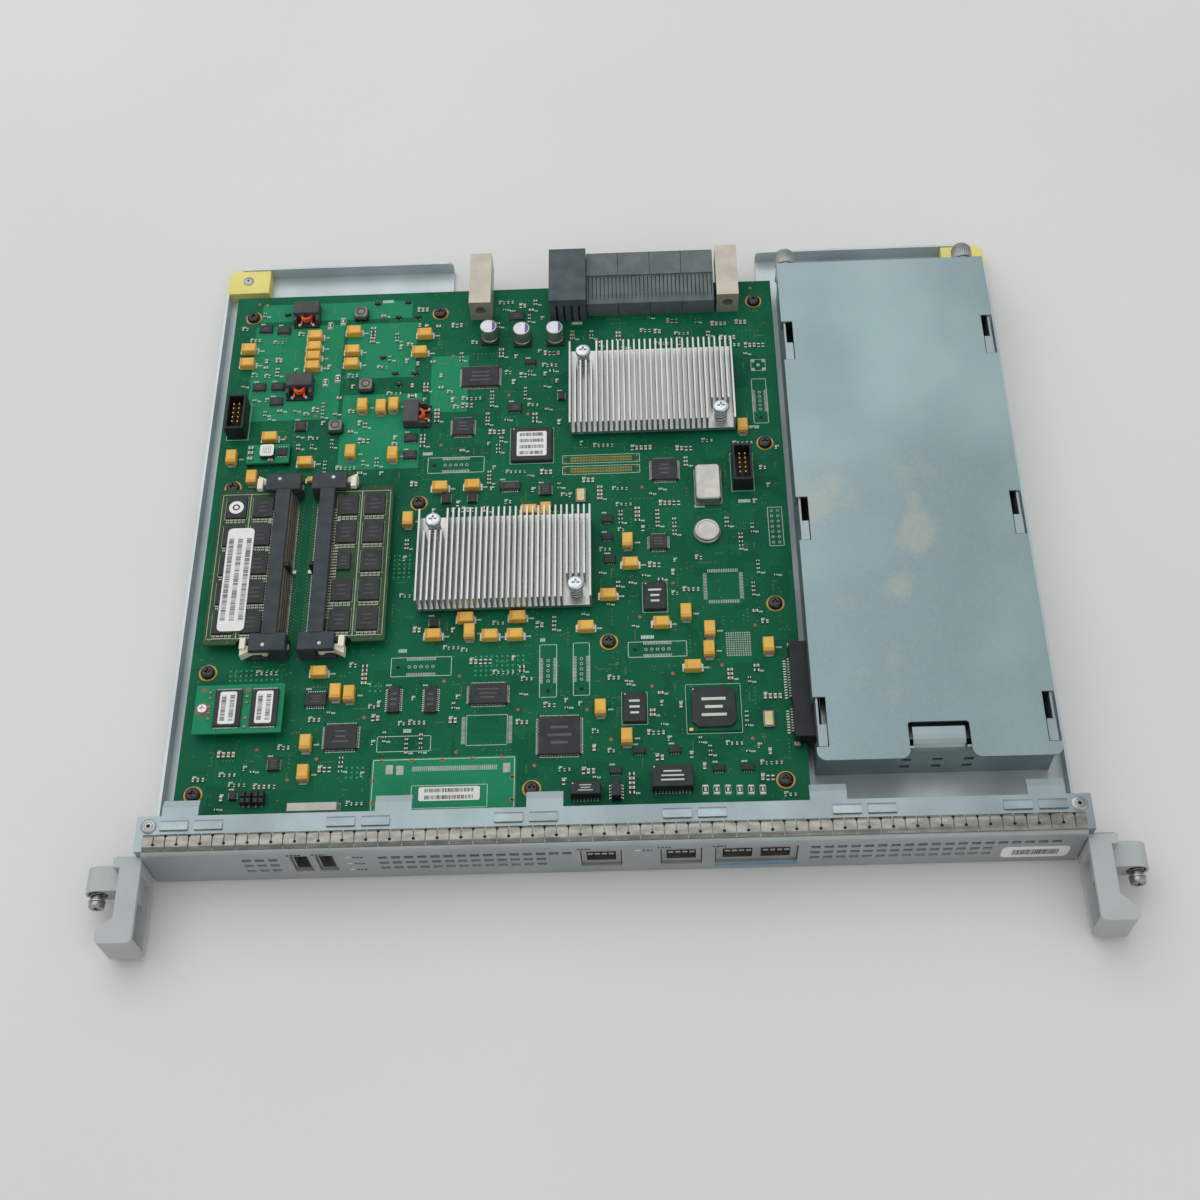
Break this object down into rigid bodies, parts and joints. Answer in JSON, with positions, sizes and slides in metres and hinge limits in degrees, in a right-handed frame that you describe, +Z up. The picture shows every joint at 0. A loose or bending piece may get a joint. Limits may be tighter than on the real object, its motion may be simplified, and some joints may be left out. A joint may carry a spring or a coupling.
{
  "type": "router processor module",
  "caption": "Slide-in router processor card: circuit board with finned heat sinks, memory and a covered drive bay on a sheet-metal tray behind a perforated port panel with handles.",
  "frame": {"origin": "middle of the whole module's box, on the tray's underside", "axes": "+X right along the front panel, +Y back from the panel to the rear connectors, +Z up from the tray"},
  "size_m": [0.4268, 0.361, 0.0287],
  "materials": {
    "zinc_sheet": "satin zinc plated",
    "cover_zinc": "bluish zinc with cloudy patches",
    "panel_grey": "satin light grey",
    "handle_grey": "satin light grey",
    "bright_nickel": "bright nickel",
    "steel_screw": "bright steel",
    "yellow_guide": "satin",
    "board_green": "solder mask",
    "black_screw": "black oxide",
    "post_steel": "plated",
    "block_nickel": "cast and plated",
    "connector_dark": "satin",
    "sink_aluminium": "milled",
    "package_black": "moulded",
    "tantalum_yellow": "moulded",
    "can_aluminium": "satin",
    "ferrite_grey": "moulded",
    "latch_ivory": "moulded",
    "socket_black": "moulded",
    "knob_grey": "satin",
    "drive_metal": "satin",
    "port_metal": "plated",
    "light_clear": "translucent"
  },
  "bodies": {
    "chassis": {"base_tray": "zinc_sheet", "front_bracket": "zinc_sheet", "drive_box": "zinc_sheet", "drive_cover": "cover_zinc", "front_panel": "panel_grey", "left_handle": "handle_grey", "right_handle": "handle_grey", "emi_gasket": "bright_nickel", "left_screw_spring": "steel_screw", "right_screw_spring": "steel_screw", "rivets": "steel_screw", "latch_pins": "steel_screw", "heat_sink_screws": "steel_screw", "heat_sink_springs": "steel_screw", "flash_fixing": "steel_screw", "left_corner_guide": "yellow_guide", "right_corner_guide": "yellow_guide", "main_board": "board_green", "left_memory_module": "board_green", "right_memory_module": "board_green", "flash_module": "board_green", "converter_board": "board_green", "board_screws": "black_screw", "board_standoffs": "post_steel", "left_guide_block": "block_nickel", "right_guide_block": "block_nickel", "power_connector": "connector_dark", "signal_connectors": "connector_dark", "board_headers": "connector_dark", "drive_connector": "connector_dark", "flash_connector": "connector_dark", "upper_heat_sink": "sink_aluminium", "lower_heat_sink": "sink_aluminium", "processors": "package_black", "memory_chips": "package_black", "quad_flat_packages": "package_black", "grid_array_packages": "package_black", "small_outline_packages": "package_black", "network_transformers": "package_black", "tantalum_capacitors": "tantalum_yellow", "electrolytic_capacitors": "can_aluminium", "oscillators": "can_aluminium", "backup_capacitor": "can_aluminium", "power_inductors": "ferrite_grey", "left_memory_socket": "socket_black", "right_memory_socket": "socket_black", "hard_drive": "drive_metal", "network_jacks": "port_metal", "usb_ports": "port_metal", "status_lights": "light_clear"},
    "left_screw_carrier": {"left_screw_washer": "steel_screw"},
    "left_screw": {"left_captive_screw": "steel_screw"},
    "right_screw_carrier": {"right_screw_washer": "steel_screw"},
    "right_screw": {"right_captive_screw": "steel_screw"},
    "latch_left_rear": {"left_rear_latch": "latch_ivory"},
    "latch_left_front": {"left_front_latch": "latch_ivory"},
    "latch_right_rear": {"right_rear_latch": "latch_ivory"},
    "latch_right_front": {"right_front_latch": "latch_ivory"},
    "knob_left": {"left_thumbscrew": "knob_grey"},
    "knob_right": {"right_thumbscrew": "knob_grey"}
  },
  "joints": [
    {"name": "left_screw_press", "type": "slide", "parent": "chassis", "child": "left_screw_carrier", "axis": [0, 1, 0], "range_m": [0, 0.0045], "stiffness_N_per_m": 300, "springref_m": -0.002, "deforming": ["left_screw_spring"]},
    {"name": "left_screw_turn", "type": "hinge", "parent": "left_screw_carrier", "child": "left_screw", "pos_m": [-0.2084, -0.1545, 0.0115], "axis": [0, 1, 0], "continuous": true},
    {"name": "right_screw_press", "type": "slide", "parent": "chassis", "child": "right_screw_carrier", "axis": [0, 1, 0], "range_m": [0, 0.0045], "stiffness_N_per_m": 300, "springref_m": -0.002, "deforming": ["right_screw_spring"]},
    {"name": "right_screw_turn", "type": "hinge", "parent": "right_screw_carrier", "child": "right_screw", "pos_m": [0.2084, -0.1545, 0.0115], "axis": [0, 1, 0], "continuous": true},
    {"name": "left_rear_latch_swing", "type": "hinge", "parent": "chassis", "child": "latch_left_rear", "pos_m": [-0.15, 0.0411, 0.015], "axis": [0, 0, -1], "range_deg": [0, 22]},
    {"name": "left_front_latch_swing", "type": "hinge", "parent": "chassis", "child": "latch_left_front", "pos_m": [-0.15, -0.0463, 0.015], "axis": [0, 0, 1], "range_deg": [0, 22]},
    {"name": "right_rear_latch_swing", "type": "hinge", "parent": "chassis", "child": "latch_right_rear", "pos_m": [-0.1252, 0.0411, 0.015], "axis": [0, 0, 1], "range_deg": [0, 22]},
    {"name": "right_front_latch_swing", "type": "hinge", "parent": "chassis", "child": "latch_right_front", "pos_m": [-0.1252, -0.0463, 0.015], "axis": [0, 0, -1], "range_deg": [0, 22]},
    {"name": "left_thumbscrew_turn", "type": "hinge", "parent": "chassis", "child": "knob_left", "pos_m": [0.0894, 0.1585, 0.0206], "axis": [0, 1, 0], "continuous": true},
    {"name": "right_thumbscrew_turn", "type": "hinge", "parent": "chassis", "child": "knob_right", "pos_m": [0.1758, 0.1585, 0.0206], "axis": [0, 1, 0], "continuous": true}
  ]
}
